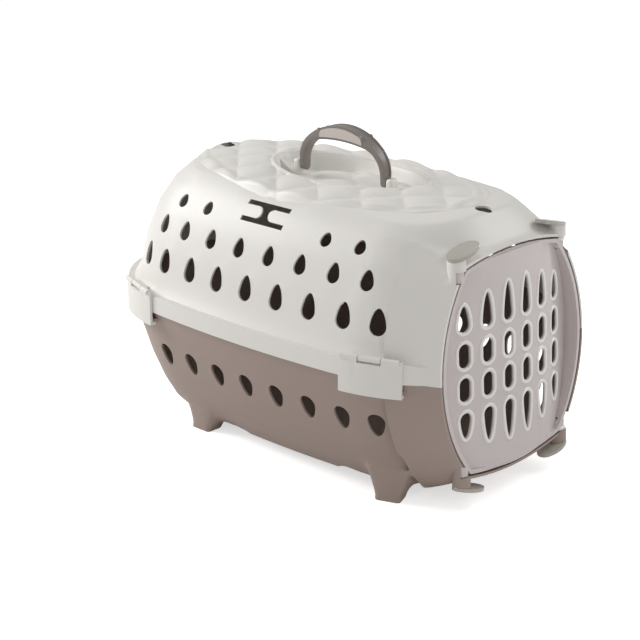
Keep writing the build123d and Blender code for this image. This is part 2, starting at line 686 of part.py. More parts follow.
def door_holes():
    """Cutters of the door's six by four pattern of holes, upper half only."""
    cuts = []
    round_ended = SlotOverall(DOOR_OVAL_HEIGHT, DOOR_HOLE_WIDTH, rotation=90)
    for column, drop in enumerate(DOOR_TEAR_DROPS):
        height = DOOR_TEAR_INNER_TIP - drop - DOOR_TEAR_START
        tear = teardrop(DOOR_HOLE_WIDTH, height)
        for side in (-1, 1):
            y = side * (column + 0.5) * DOOR_HOLE_PITCH
            for shape, v in ((tear, DOOR_TEAR_START + height / 2), (round_ended, DOOR_OVAL_V)):
                cuts.append(extrude(Plane.YZ * Pos(y, v) * shape, amount=BEHIND_DOOR, both=True))
    return cuts


def door():
    """Clear door: a shell bowed about an upright axis inside a flat rim, with four ears."""
    axis_u = DOME_RISE - DOME_RADIUS
    bow = Pos(axis_u, 0, 0) * Cylinder(DOME_RADIUS, FAR)
    bow_inside = Pos(axis_u, 0, 0) * Cylinder(DOME_RADIUS - DOOR_SHEET, FAR)
    behind = Box(FAR, FAR, FAR, align=(Align.MAX, Align.CENTER, Align.CENTER))

    def column(grow):
        return extrude(Plane.YZ * barrel(grow), amount=BEHIND_DOOR, both=True)

    flange = (column(0) - column(-DOOR_RIM)) & (behind - Pos(-DOOR_SHEET, 0, 0) * behind)
    wall = column(-DOOR_RIM + DOOR_SHEET) - column(-DOOR_RIM)
    wall = wall & ((bow + behind) - (bow_inside & Pos(-DOOR_SHEET, 0, 0) * behind))
    panel = column(-DOOR_RIM + DOOR_SHEET / 2) & (bow - bow_inside)
    shape = flange + wall + panel
    ears = [door_ear(side) for side in (-1, 1)]
    ears += [mirror(ear, about=Plane.XY) for ear in ears]
    holes = door_holes() + [ear_hole(side) for side in (-1, 1)]
    holes += [mirror(hole, about=Plane.XY) for hole in holes]
    room = bow_inside & Pos(-DOOR_SHEET, 0, 0) * behind & column(-DOOR_RIM - EAR_ROOM)
    shape = shape + [ear - room for ear in ears]
    return DOOR_PLACE * (shape - holes)


def corner_pin(side, upper):
    """Door pin: a round shank under a tipped oval thumb plate."""
    low = EAR_TOP - EAR_HEIGHT + SEAM_GAP
    high = EAR_TOP + BOSS_GAP + BOSS_HEIGHT
    place = pin_head_place(side)
    shank = pin_axis(side, low) * Cylinder(PIN_RADIUS, high - low + HEAD_THICK / 2, align=UP)
    plate = extrude(Rot(0, 0, 90) * oval(HEAD_LENGTH, HEAD_WIDTH, HEAD_END_RADIUS), amount=HEAD_THICK)
    pin = shank + place * Pos(0, -side * HEAD_SHIFT, SEAM_GAP) * plate
    return DOOR_PLACE * (pin if upper else mirror(pin, about=Plane.XY))


def arch(half, rise, shoulder):
    """Face under an arch of three tangent arcs on straight legs, down past the pivots."""
    reach = half - shoulder
    height = rise - HANDLE_LEG
    top_radius = (reach**2 + height**2 - shoulder**2) / (2 * (height - shoulder))
    top_centre = rise - top_radius
    turn = math.degrees(math.atan2(HANDLE_LEG - top_centre, reach))
    low = -HANDLE_WIDTH
    edges = [
        Line((-half, low), (half, low)), Line((half, low), (half, HANDLE_LEG)),
        CenterArc((reach, HANDLE_LEG), shoulder, 0, turn),
        CenterArc((0, top_centre), top_radius, turn, 180 - 2 * turn),
        CenterArc((-reach, HANDLE_LEG), shoulder, 180 - turn, turn),
        Line((-half, HANDLE_LEG), (-half, low)),
    ]
    return make_face(Curve() + edges)


def outer_arch(inset):
    """Face under the handle's back, taken in by an inset."""
    return arch(HANDLE_HALF - inset, HANDLE_RISE - inset, HANDLE_SHOULDER - inset)


def inner_arch(grow):
    """Face of the handle's opening, grown into the bar."""
    half = HANDLE_HALF - HANDLE_LEG_THICK + grow
    return arch(half, HANDLE_RISE - HANDLE_GRIP_THICK + grow, HANDLE_INNER_SHOULDER + grow)


def handle_slice(face, grow=0.0):
    """A face drawn along the carrier, made solid to the handle's width, which narrows downwards."""
    foot, top = HANDLE_FOOT_WIDTH / 2 + grow, HANDLE_WIDTH / 2 + grow
    right = [(foot, -HANDLE_WIDTH), (foot, 0), (top, HANDLE_RISE), (top, 2 * HANDLE_RISE)]
    left = [(-y, z) for y, z in reversed(right)]
    section = make_face(Polyline(*right, *left, close=True))
    blank = extrude(Plane.YZ * section, amount=2 * HANDLE_HALF, both=True)
    solid = extrude(Plane.XZ * face, amount=HANDLE_WIDTH, both=True)
    return Pos(HANDLE_X, 0, HANDLE_AXIS_Z) * (solid & blank)


def grip(grow=0.0):
    """Inlay through the top of the handle, an even inset from its two arcs."""
    window = Pos(0, HANDLE_RISE) * Rectangle(GRIP_LENGTH, 2 * HANDLE_GRIP_THICK)
    return handle_slice((outer_arch(GRIP_INSET) - inner_arch(GRIP_INSET)) & window, grow)


def carry_handle():
    """Folding handle: an arch with a grooved back, round feet and two pivot stubs."""
    bar = handle_slice(outer_arch(0) - inner_arch(0))
    groove = handle_slice(outer_arch(0) - outer_arch(HANDLE_GROOVE), -HANDLE_EDGE)
    groove = groove & above(HANDLE_AXIS_Z + HANDLE_LEG)
    turn = Rot(0, 90, 0)
    place = Pos(HANDLE_X, 0, HANDLE_AXIS_Z)
    round_feet = place * turn * Cylinder(HANDLE_FOOT_WIDTH / 2, 2 * HANDLE_HALF)
    bar = bar & (above(HANDLE_AXIS_Z) + round_feet)
    stub = turn * Cylinder(HANDLE_STUB_RADIUS, 2 * (HANDLE_HALF + HANDLE_STUB_LENGTH))
    stub = stub - Box(2 * HANDLE_HALF - HANDLE_LEG_THICK, HANDLE_WIDTH, HANDLE_WIDTH)
    return bar + place * stub - groove - grip(GRIP_PROUD)


def export(node, shape):
    """Write one piece as a STEP file."""
    export_step(shape, os.path.join("parts", node + ".step"))


def main():
    """Make every piece and write it out."""
    os.makedirs("parts", exist_ok=True)
    export("lower_shell", lower_shell())
    export("upper_shell", upper_shell())
    export("door", door())
    for side, side_name in ((-1, "right"), (1, "left")):
        export("pin_top_" + side_name, corner_pin(side, True))
        export("pin_bottom_" + side_name, corner_pin(side, False))
        for sign, end_name in ((1, "front"), (-1, "rear")):
            export("clip_" + end_name + "_" + side_name, clip_frame(sign, side).location * clip(sign))
    export("carry_handle", carry_handle())
    export("grip_insert", grip(GRIP_PROUD))


if __name__ == "__main__":
    main()
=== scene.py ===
import math

import bmesh
import bpy
from mathutils import Matrix, Vector
from mathutils.bvhtree import BVHTree
from mathutils.kdtree import KDTree


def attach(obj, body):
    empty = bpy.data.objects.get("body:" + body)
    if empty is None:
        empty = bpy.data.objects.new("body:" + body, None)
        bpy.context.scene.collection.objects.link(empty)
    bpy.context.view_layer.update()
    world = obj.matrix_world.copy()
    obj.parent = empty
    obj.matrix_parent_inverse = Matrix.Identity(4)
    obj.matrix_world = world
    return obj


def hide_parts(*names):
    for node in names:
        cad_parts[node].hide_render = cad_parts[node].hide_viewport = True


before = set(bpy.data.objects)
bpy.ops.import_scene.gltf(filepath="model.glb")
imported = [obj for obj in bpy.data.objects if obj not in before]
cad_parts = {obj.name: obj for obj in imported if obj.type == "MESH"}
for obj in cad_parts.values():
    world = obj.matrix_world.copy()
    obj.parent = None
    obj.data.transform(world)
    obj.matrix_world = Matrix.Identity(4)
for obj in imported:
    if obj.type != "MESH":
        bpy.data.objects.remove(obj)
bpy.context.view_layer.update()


# Studio
# A white sweep under three soft boxes, as in a catalogue photo of a moulded household article.
# The camera stands where the photo's did, at the carrier's near front corner and a little above.

CAMERA_TURN = math.radians(43.7)
CAMERA_RISE = math.radians(19.5)
CAMERA_ROLL = math.radians(-0.2)
CAMERA_DISTANCE = 1.796
CAMERA_TARGET = Vector((-0.0278, 0.0, 0.1151))
CAMERA_LENS = 91.03
SENSOR_WIDTH = 36.0
PAPER_HALF_WIDTH = 6.0
PAPER_GLOW = 0.6
WORLD_STRENGTH = 0.4

scene = bpy.context.scene
scene.view_settings.view_transform = "Standard"

back = Vector((
    math.sin(CAMERA_TURN) * math.cos(CAMERA_RISE),
    -math.cos(CAMERA_TURN) * math.cos(CAMERA_RISE),
    math.sin(CAMERA_RISE),
))
camera_data = bpy.data.cameras.new("camera")
camera_data.sensor_width = SENSOR_WIDTH
camera_data.lens = CAMERA_LENS
camera = bpy.data.objects.new("camera", camera_data)
scene.collection.objects.link(camera)
camera_stand = Matrix.Translation(CAMERA_TARGET + back * CAMERA_DISTANCE)
camera_turn = back.to_track_quat("Z", "Y").to_matrix().to_4x4()
camera.matrix_world = camera_stand @ camera_turn @ Matrix.Rotation(CAMERA_ROLL, 4, "Z")
scene.camera = camera


def linear(hex_colour):
    """sRGB hex to the linear colour that a shader socket takes."""
    values = [int(hex_colour[i:i + 2], 16) / 255 for i in (0, 2, 4)]
    return tuple(v / 12.92 if v <= 0.04045 else ((v + 0.055) / 1.055) ** 2.4 for v in values) + (1.0,)


def add_node(material, kind, settings=None, links=None):
    """Add one shader node, set its properties and sockets, and link its inputs."""
    made = material.node_tree.nodes.new(kind)
    for key, value in (settings or {}).items():
        if isinstance(key, int) or key in made.inputs:
            made.inputs[key].default_value = value
        else:
            setattr(made, key, value)
    for key, source in (links or {}).items():
        material.node_tree.links.new(source, made.inputs[key])
    return made


def new_material(name):
    """Empty node material with its output."""
    material = bpy.data.materials.new(name)
    material.use_nodes = True
    material.node_tree.nodes.clear()
    return material, material.node_tree.nodes.new("ShaderNodeOutputMaterial")


def finish_object(name, work):
    """Object at the origin from a bmesh."""
    mesh = bpy.data.meshes.new(name)
    work.to_mesh(mesh)
    work.free()
    made = bpy.data.objects.new(name, mesh)
    scene.collection.objects.link(made)
    return made


# Matt background paper. Its glow is for the camera alone: it whitens the picture and lights nothing
paper, paper_out = new_material("seamless_paper")
paper_grey = add_node(paper, "ShaderNodeBsdfDiffuse", {"Color": linear("f4f3f2")})
camera_ray = add_node(paper, "ShaderNodeLightPath")
paper_glow = add_node(paper, "ShaderNodeMath", {"operation": "MULTIPLY", 1: PAPER_GLOW},
                      {0: camera_ray.outputs["Is Camera Ray"]})
paper_white = add_node(paper, "ShaderNodeEmission", {"Color": linear("ffffff")},
                       {"Strength": paper_glow.outputs[0]})
paper_sum = add_node(paper, "ShaderNodeAddShader",
                     links={0: paper_grey.outputs[0], 1: paper_white.outputs[0]})
paper.node_tree.links.new(paper_sum.outputs[0], paper_out.inputs["Surface"])

floor_mesh = bmesh.new()
bmesh.ops.create_grid(floor_mesh, x_segments=1, y_segments=1, size=PAPER_HALF_WIDTH)
floor = finish_object("floor", floor_mesh)
floor.data.materials.append(paper)

world = bpy.data.worlds.new("studio")
world.use_nodes = True
scene.world = world
background = world.node_tree.nodes["Background"]
background.inputs["Color"].default_value = linear("ffffff")
background.inputs["Strength"].default_value = WORLD_STRENGTH


def soft_box(name, place, aim, size, power):
    """Square area lamp, turned to shine on a point."""
    data = bpy.data.lights.new(name, "AREA")
    data.size = size
    data.energy = power
    lamp = bpy.data.objects.new(name, data)
    scene.collection.objects.link(lamp)
    turn = (Vector(aim) - Vector(place)).to_track_quat("-Z", "Y").to_matrix().to_4x4()
    lamp.matrix_world = Matrix.Translation(place) @ turn


soft_box("key", place=(-1.9, -0.9, 1.3), aim=(0, 0, 0.12), size=1.2, power=41.0)
soft_box("back", place=(0.8, 1.3, 1.5), aim=(0, 0, 0.2), size=1.1, power=13.0)
soft_box("front", place=(1.9, -0.6, 0.9), aim=(0.2, 0, 0.15), size=0.9, power=4.5)


# Upper half shell
# The white cover: injection moulded polypropylene with a satin skin, one wall of 2.5 mm.
# Its band, vents, roof and half of the door collar come from one mould. The clips hold it to the tub.

# Lengths here and below are in millimetres, angles in degrees unless turned to radians
MM = 0.001
JOIN_WITHIN = 0.01
SLIVER = 0.02
GAP_SIDES = 6
INSIDE = Vector((0.0, 0.0, 150.0)) * MM
SOFT_ANGLE = math.radians(32.0)
MOUTH_ANGLE = math.radians(52.0)

# Vents: the shortest and longest way round a mouth, then the shape of the drop
VENT_ROUND = (30.0, 90.0)
MOUTH_ROUND = (30.0, 260.0)
MOUTH_EDGE = 1.2
LONG_EDGE = 2.5
LONG_EDGE_CUTS = 5
DROP_SLIMNESS = (1.15, 3.8)
BELLY_SHARE = 0.88
EVEN_SHARE = 0.08
EGG_ROUND = 0.8
EGG_LENGTH = 0.87
TIP = 0.999

# The crease where the collar flares from the body, and how it is eased
COLLAR_X = (165.0, 226.0)
COLLAR_ANGLE = (7.0, 50.0)
SEAM_MIDDLE_Z = 145.0
SEAM_Z = (138.0, 162.0)
COLLAR_EASE = {"reach": 11.0, "fine": 4.0, "rounds": 14, "most": 1.1}
CREASE_STEP = 2.0
SPLIT_ROUNDS = 6
SPLIT_MARGIN = 1.3
SMOOTHING = 0.5
NO_SHIFT = 1e-9

# The roof: each oval is its length, its width and the radius of its ends
CROWN_Z = 295.0
CROWN_X = -20.0
CROWN_SIDE_RADIUS = 440.0
CROWN_LENGTH_RADIUS = 2500.0
RECESS = (356.0, 186.0, 62.0)
RECESS_X = -4.0
WELL = (192.0, 118.0, 40.0)
WELL_X = 9.0
WELL_Y = 9.0
WELL_LEAN = 12.0
WELL_MARGIN = 0.5
ROOF_LOW = 268.0
ROOF_EDGE = 0.05
TOP_FACING = 0.3
WALL_FACING = -0.7
ROOF_SINK = 1.0
ROOF_KEEP = 0.3

# The two seats of the handle's legs, which sink further
SEAT_HALF = 7.0
SEAT_START = 61.0
SEAT_OUTSIDE = 3.0
SEAT_INSIDE = 1.0
SEAT_SINK = 21.5
SEAT_RIM_SINK = 2.2

# Texture of the plastics
FLOW_MARK = 111.0
BUMP_STRENGTH = 0.35
POLYPROPYLENE_IOR = 1.49


def moulded_plastic(name, colour, shade, roughness, grain, bump, speck=0.04):
    """Satin moulding: fine spark grain, faint flow marks and a slightly uneven colour."""
    material, output = new_material(name)
    coords = add_node(material, "ShaderNodeTexCoord")
    flow = add_node(material, "ShaderNodeTexNoise",
                    {"Scale": 1.0 / (FLOW_MARK * MM), "Detail": 3.0, "Roughness": 0.5},
                    {"Vector": coords.outputs["Object"]})
    spark = add_node(material, "ShaderNodeTexNoise", {"Scale": 1.0 / (grain * MM), "Detail": 2.0},
                     {"Vector": coords.outputs["Object"]})
    tint = add_node(material, "ShaderNodeMix", {"data_type": "RGBA", 6: linear(colour), 7: linear(shade)},
                    {"Factor": flow.outputs["Fac"]})
    gloss = add_node(material, "ShaderNodeMapRange",
                     {"To Min": roughness - speck, "To Max": roughness + speck},
                     {"Value": spark.outputs["Fac"]})
    relief = add_node(material, "ShaderNodeBump", {"Strength": BUMP_STRENGTH, "Distance": bump * MM},
                      {"Height": spark.outputs["Fac"]})
    skin = add_node(material, "ShaderNodeBsdfPrincipled", {"IOR": POLYPROPYLENE_IOR},
                    {"Base Color": tint.outputs[2], "Roughness": gloss.outputs["Result"],
                     "Normal": relief.outputs["Normal"]})
    material.node_tree.links.new(skin.outputs[0], output.inputs["Surface"])
    return material


def merged_copy(node):
    """Bmesh of a CAD node with its loose triangles joined into one skin."""
    work = bmesh.new()
    work.from_mesh(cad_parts[node].data)
    bmesh.ops.remove_doubles(work, verts=work.verts, dist=JOIN_WITHIN * MM)
    bmesh.ops.dissolve_degenerate(work, edges=work.edges, dist=SLIVER * MM)
    bmesh.ops.holes_fill(work, edges=work.edges, sides=GAP_SIDES)
    return work


def is_hard(edge):
    """Whether an edge between two faces is as sharp as the mouth of a hole."""
    return len(edge.link_faces) == 2 and edge.calc_face_angle(0.0) > MOUTH_ANGLE


def closed_edges(work, limits):
    """Hard edges in closed runs, such as the mouth of a hole, with a length in mm within limits."""
    work.edges.index_update()
    work.verts.index_update()
    hard = [edge for edge in work.edges if is_hard(edge)]
    near = {}
    for edge in hard:
        for vert in edge.verts:
            near.setdefault(vert.index, []).append(edge)
    seen, runs = set(), []
    for first in hard:
        if first.index in seen:
            continue
        seen.add(first.index)
        run, queue = [], [first]
        while queue:
            edge = queue.pop()
            run.append(edge)
            for vert in edge.verts:
                for other in near[vert.index]:
                    if other.index not in seen:
                        seen.add(other.index)
                        queue.append(other)
        single = all(len(near[vert.index]) == 2 for edge in run for vert in edge.verts)
        if single and limits[0] * MM < sum(edge.calc_length() for edge in run) < limits[1] * MM:
            runs.append(run)
    return runs


def run_points(run):
    """Points of a run of edges, each once."""
    return list({vert.index: vert for edge in run for vert in edge.verts}.values())


def middle_of(points):
    """Mean place of some points."""
    return sum((vert.co for vert in points), Vector()) / len(points)


def span(values):
    """Lowest and highest of some values."""
    return min(values), max(values)


def egg_mouths(work, limits, keep_length):
    """Ease each teardrop vent to the softer drop of the real one, inside and out."""
    long_edges = [edge for run in closed_edges(work, limits) for edge in run
                  if edge.calc_length() > LONG_EDGE * MM]
    bmesh.ops.subdivide_edges(work, edges=long_edges, cuts=LONG_EDGE_CUTS, use_grid_fill=False)
    for run in closed_edges(work, limits):
        corners = run_points(run)
        centre = middle_of(corners)
        normal = Vector()
        for edge in run:
            turn = (edge.verts[0].co - centre).cross(edge.verts[1].co - centre)
            normal += turn if turn.dot(centre - INSIDE) > 0 else -turn
        normal.normalize()
        rise = (Vector((0, 0, 1)) - normal * normal.z).normalized()
        side = rise.cross(normal)
        places = [(side.dot(vert.co - centre), rise.dot(vert.co - centre)) for vert in corners]
        left, right = span([a for a, _ in places])
        low, high = span([b for _, b in places])
        half, middle = (right - left) / 2, (right + left) / 2
        if not DROP_SLIMNESS[0] * (right - left) < high - low < DROP_SLIMNESS[1] * (right - left):
            continue
        widest = sum(span([b for a, b in places if abs(a - middle) > BELLY_SHARE * half])) / 2
        if abs(widest - (low + high) / 2) < EVEN_SHARE * (high - low):
            continue
        tip = 1 if widest < (low + high) / 2 else -1
        belly = low + half if tip > 0 else high - half
        length = (high - belly) if tip > 0 else (belly - low)
        for vert, (a, b) in zip(corners, places):
            t = tip * (b - belly) / length
            if t <= 0:
                continue
            t = min(t, 1.0)
            wide = half * (EGG_ROUND * math.sqrt(1 - t * t) + (1 - EGG_ROUND) * (1 - t))
            new_a = middle + math.copysign(wide, a - middle) if t < TIP else middle
            new_b = belly + tip * length * t * keep_length
            vert.co += side * (new_a - a) + rise * (new_b - b)


def is_within(value, limits):
    """Whether a value lies between two limits."""
    return limits[0] < value < limits[1]


def edge_middle(edge):
    """Middle of an edge, in mm."""
    return (edge.verts[0].co + edge.verts[1].co) / 2 / MM


def collar_crease(edge):
    """Whether an edge of the outer skin is where the collar's flare meets the body."""
    middle = edge_middle(edge)
    angle = math.degrees(edge.calc_face_angle(0.0))
    normal = edge.link_faces[0].normal + edge.link_faces[1].normal
    outward = normal.dot(Vector((0, middle.y, middle.z - SEAM_MIDDLE_Z))) > 0
    on_flare = is_within(angle, COLLAR_ANGLE) and is_within(middle.x, COLLAR_X)
    return on_flare and outward and not is_within(middle.z, SEAM_Z)


def on_hard_edge(vert):
    """Whether a point lies on a hard or open edge, such as the mouth of a hole."""
    return any(is_hard(edge) or len(edge.link_faces) != 2 for edge in vert.link_edges)


def ease_creases(work, picks, keeps, reach, fine, rounds, most):
    """Turn a hard crease into a moulded fillet.

    Edges longer than fine are split within reach of the crease, then the points there, apart from
    those that keeps names, are smoothed in some rounds, and move by most at the most.
    """
    points = []
    for edge in work.edges:
        if len(edge.link_faces) == 2 and picks(edge):
            one, two = edge.verts[0].co, edge.verts[1].co
            steps = max(1, int(edge.calc_length() / (CREASE_STEP * MM)))
            points += [one.lerp(two, i / steps) for i in range(steps + 1)]
    tree = KDTree(len(points))
    for i, point in enumerate(points):
        tree.insert(point, i)
    tree.balance()
    for _ in range(SPLIT_ROUNDS):
        coarse = []
        for edge in work.edges:
            length, middle = edge.calc_length(), edge.verts[0].co.lerp(edge.verts[1].co, 0.5)
            if length > fine * MM and tree.find(middle)[2] < reach * SPLIT_MARGIN * MM + length / 2:
                coarse.append(edge)
        if not coarse:
            break
        bmesh.ops.subdivide_edges(work, edges=coarse, cuts=1)
        bmesh.ops.triangulate(work, faces=[face for face in work.faces if len(face.verts) > 4])
    moving = []
    for vert in work.verts:
        away = tree.find(vert.co)[2] / MM
        if away < reach and not keeps(vert):
            moving.append((vert, 1 - (away / reach)**2))
    starts = [vert.co.copy() for vert, _ in moving]
    for _ in range(rounds):
        moved = []
        for vert, weight in moving:
            ring = [edge.other_vert(vert).co for edge in vert.link_edges]
            moved.append(vert.co.lerp(sum(ring, Vector()) / len(ring), SMOOTHING * weight))
        for (vert, _), place, start in zip(moving, moved, starts):
            shift = place - start
            vert.co = start + shift * min(1.0, most * MM / max(shift.length, NO_SHIFT))


def round_mouths(work):
    """Round the outer mouths of the holes, from the small vents to the slots."""
    mouths = []
    for run in closed_edges(work, MOUTH_ROUND):
        centre = middle_of(run_points(run))
        around = Vector()
        for edge in run:
            around += max(edge.link_faces, key=lambda f: (f.calc_center_median() - centre).length).normal
        if around.dot(centre - INSIDE) > 0:
            mouths += run
    bmesh.ops.bevel(work, geom=mouths, offset=MOUTH_EDGE * MM, affect="EDGES", segments=3,
                    profile=0.5, material=-1, clamp_overlap=True)


def oval_distance(x, y, length, width, end_radius):
    """Distance from an oval of four tangent arcs, negative inside it."""
    x, y = abs(x), abs(y)
    reach, half = length / 2 - end_radius, width / 2
    side_radius = (reach**2 + half**2 - end_radius**2) / (2 * (half - end_radius))
    low = side_radius - half
    if x * low > reach * (y + low):
        return math.hypot(x - reach, y) - end_radius
    return math.hypot(x, y + low) - side_radius


def recess_distance(x, y):
    """Distance from the edge of the shallow recess in the roof, negative inside it."""
    return oval_distance(x - RECESS_X, y, *RECESS)


def well_distance(x, y):
    """Distance from the handle well's edge, negative inside it."""
    return oval_distance(x - WELL_X, y - WELL_Y, *WELL)


def crown_height(x, y):
    """Height of the roof's crown: one arc across, swung along a longer one."""
    fall_x = CROWN_LENGTH_RADIUS - math.sqrt(CROWN_LENGTH_RADIUS**2 - (x - CROWN_X)**2)
    fall_y = CROWN_SIDE_RADIUS - math.sqrt(CROWN_SIDE_RADIUS**2 - y**2)
    return CROWN_Z - fall_x - fall_y


def is_roof(face):
    """Whether a face of the cover is part of the roof's outer skin inside the recess."""
    points = [vert.co / MM for vert in face.verts]
    nearest, farthest = span([recess_distance(point.x, point.y) for point in points])
    if min(point.z for point in points) < ROOF_LOW or farthest > ROOF_EDGE or nearest > -ROOF_EDGE:
        return False
    middle = face.calc_center_median() / MM
    narrow = (middle.z - CROWN_Z) * math.tan(math.radians(WELL_LEAN))
    in_well = well_distance(middle.x, middle.y) < narrow + WELL_MARGIN
    return face.normal.z > TOP_FACING or in_well and face.normal.z > WALL_FACING


def soften(work):
    """Smooth shading, broken only where two faces meet at a clear angle."""
    for face in work.faces:
        face.smooth = True
    for edge in work.edges:
        edge.smooth = len(edge.link_faces) == 2 and edge.calc_face_angle(0.0) < SOFT_ANGLE


def place_copy(work, node, body, material):
    """Object that stands for a CAD node, with its material and body; the node itself is hidden."""
    soften(work)
    made = finish_object(node + "_moulding", work)
    made.data.materials.append(material)
    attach(made, body)
    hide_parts(node)


# Warm white polypropylene from a spark eroded mould: broad, soft highlights and no clear reflection.
# The real grain, about 0.1 mm, is too fine to show, so it is drawn at 0.9 mm
white_polypropylene = moulded_plastic("white_polypropylene", "e6e3de", "e1ded8",
                                      roughness=0.42, grain=0.9, bump=0.05)
cover = merged_copy("upper_shell")
egg_mouths(cover, VENT_ROUND, EGG_LENGTH)
ease_creases(cover, collar_crease, on_hard_edge, **COLLAR_EASE)
round_mouths(cover)
roof_skin = BVHTree.FromBMesh(cover)

# The plain roof inside the recess sinks a little, to lie hidden under the quilted skin that follows
roof = {vert for face in cover.faces if is_roof(face) for vert in face.verts}
for vert in roof:
    x, y, z = vert.co / MM
    away = well_distance(x, y)
    if abs(y) < SEAT_HALF and abs(x - WELL_X) > SEAT_START and away < SEAT_OUTSIDE:
        sink = SEAT_SINK if away < -SEAT_INSIDE else SEAT_RIM_SINK
        vert.co.z = min(z, crown_height(x, y) - sink) * MM
    elif recess_distance(x, y) < -ROOF_KEEP:
        vert.co.z = (z - ROOF_SINK) * MM
place_copy(cover, "upper_shell", "shell", white_polypropylene)


# Quilted roof
# The field of padded looking diamonds round the handle, with the well's sloping wall and rolled bead.
# It is part of the cover's moulding, shown by a thin skin of its own that lies on the plain roof.

PANEL = (374.0, 198.0, 76.0)
PANEL_X = -2.0
PANEL_LIFT = 0.2
PANEL_DROP = 1.9
PANEL_PROUD = 3.2
PROUD_REACH = 8.0
PANEL_TUCK = 0.6
FADE_START = 1.0
FADE_END = 9.0
QUILT_PITCH = 42.0
PILLOW_RISE = 4.2
SEAM_POWER = 2.6
WELL_DEPTH = 19.0
WELL_SLOPE = 9.0
BEAD_RADIUS = 2.6
BEAD_OUT = 3.0
BEAD_RISE = 2.6
ABOVE_Z = 400.0
QUILT_STEPS = (250, 150)
QUILT_SKIN = 1.0
HALVINGS = 30
STRAP_HOLE_X = -170.5
STRAP_HOLE_RADIUS = 8.6
STRAP_HOLE_REACH = 1.5


def oval_reach(angle, length, width, end_radius):
    """Distance from the middle of an oval to its edge, at an angle."""
    near, far = 0.0, length
    for _ in range(HALVINGS):
        middle = (near + far) / 2
        x, y = middle * math.cos(angle), middle * math.sin(angle)
        inside = oval_distance(x, y, length, width, end_radius) < 0
        near, far = (middle, far) if inside else (near, middle)
    return near


def smooth_step(value, low, high):
    """0 below one value, 1 above another, an easy curve between."""
    t = min(1.0, max(0.0, (value - low) / (high - low)))
    return t * t * (3 - 2 * t)


def pillow(x, y):
    """Rise of a quilted pad between seams that run on both diagonals."""
    root = QUILT_PITCH * math.sqrt(2)
    rise = PILLOW_RISE
    for part in ((x - RECESS_X + y) / root, (x - RECESS_X - y) / root):
        off = abs(2 * (part - math.floor(part + 0.5)))
        rise *= 1 - off**SEAM_POWER
    return rise


def roof_height(x, y):
    """Height of the quilted crown with the handle well and its bead, close over the plain roof."""
    drop = PANEL_DROP * smooth_step(-recess_distance(x, y), FADE_START, FADE_END)
    top = crown_height(x, y) + PANEL_LIFT - drop
    away = well_distance(x, y)
    inside = -oval_distance(x - PANEL_X, y, *PANEL)
    if away > BEAD_OUT:
        below = roof_skin.ray_cast(Vector((x, y, ABOVE_Z)) * MM, Vector((0, 0, -1)))[0]
        if below and below.z > ROOF_LOW * MM:
            proud = PANEL_PROUD * smooth_step(inside, 0.0, PROUD_REACH)
            top = min(top, below.z / MM + proud - PANEL_TUCK)
    sunk = WELL_DEPTH * smooth_step(-away, 0.0, WELL_SLOPE)
    fade = smooth_step(abs(away), FADE_START, FADE_END) * smooth_step(inside, 0.0, FADE_END)
    height = top - sunk + pillow(x, y) * fade
    bead = abs(away - BEAD_OUT) / BEAD_RADIUS
    if bead < 1:
        height = max(height, top + BEAD_RISE * math.sqrt(1 - bead * bead))
    return height


# A square grid is drawn out to a disc and on to the oval, so that its outer row is the panel's edge
quilt = bmesh.new()
bmesh.ops.create_grid(quilt, x_segments=QUILT_STEPS[0], y_segments=QUILT_STEPS[1], size=1.0)
for vert in quilt.verts:
    u, v = vert.co.x, vert.co.y
    along, across = u * math.sqrt(1 - v * v / 2), v * math.sqrt(1 - u * u / 2)
    edge = oval_reach(math.atan2(across, along), *PANEL)
    x, y = PANEL_X + along * edge, across * edge
    vert.co = Vector((x, y, roof_height(x, y))) * MM

# The rear strap hole goes through the skin as well, and its edge is drawn to a circle
hole = Vector((STRAP_HOLE_X, 0, 0)) * MM
spare = [face for face in quilt.faces
         if (face.calc_center_median() - hole).xy.length < STRAP_HOLE_RADIUS * MM]
bmesh.ops.delete(quilt, geom=spare, context="FACES")
for vert in quilt.verts:
    out = (vert.co - hole).xy
    if vert.is_boundary and out.length < STRAP_HOLE_REACH * STRAP_HOLE_RADIUS * MM:
        vert.co.xy = hole.xy + out.normalized() * STRAP_HOLE_RADIUS * MM
bmesh.ops.recalc_face_normals(quilt, faces=quilt.faces)
if sum(face.normal.z for face in quilt.faces) < 0:
    bmesh.ops.reverse_faces(quilt, faces=quilt.faces)
soften(quilt)
panel = finish_object("quilted_roof", quilt)
wall = panel.modifiers.new("wall", "SOLIDIFY")
wall.thickness = QUILT_SKIN * MM
wall.offset = -1.0
panel.data.materials.append(white_polypropylene)
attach(panel, "shell")


# Handle posts
# Two upright blocks at the ends of the handle well, which cover the seats of the handle's stubs.
# They are moulded with the cover, so they have its plastic and all their edges are rounded.

POST_SIZE = (9.0, 12.0, 26.0)
POST_START = 62.2
POST_TOP = 294.5
POST_EDGE = 3.0

posts = bmesh.new()
for side in (-1, 1):
    post_x = WELL_X + side * (POST_START + POST_SIZE[0] / 2)
    middle = Vector((post_x, 0, POST_TOP - POST_SIZE[2] / 2)) * MM
    shape = Matrix.Translation(middle) @ Matrix.Diagonal([size * MM for size in POST_SIZE] + [1.0])
    bmesh.ops.create_cube(posts, size=1.0, matrix=shape)
bmesh.ops.bevel(posts, geom=posts.edges[:], offset=POST_EDGE * MM, affect="EDGES", segments=4,
                profile=0.5, material=-1)
soften(posts)
posts_object = finish_object("handle_posts", posts)
posts_object.data.materials.append(white_polypropylene)
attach(posts_object, "shell")


# Rim clips
# Four levers of the same white polypropylene, each moulded in one with its stubs and hook.
# They hang from knuckles on the cover's band and hook under the tub's catch ribs.

for name in ("clip_front_right", "clip_front_left", "clip_rear_right", "clip_rear_left"):
    place_copy(merged_copy(name), name, name, white_polypropylene)


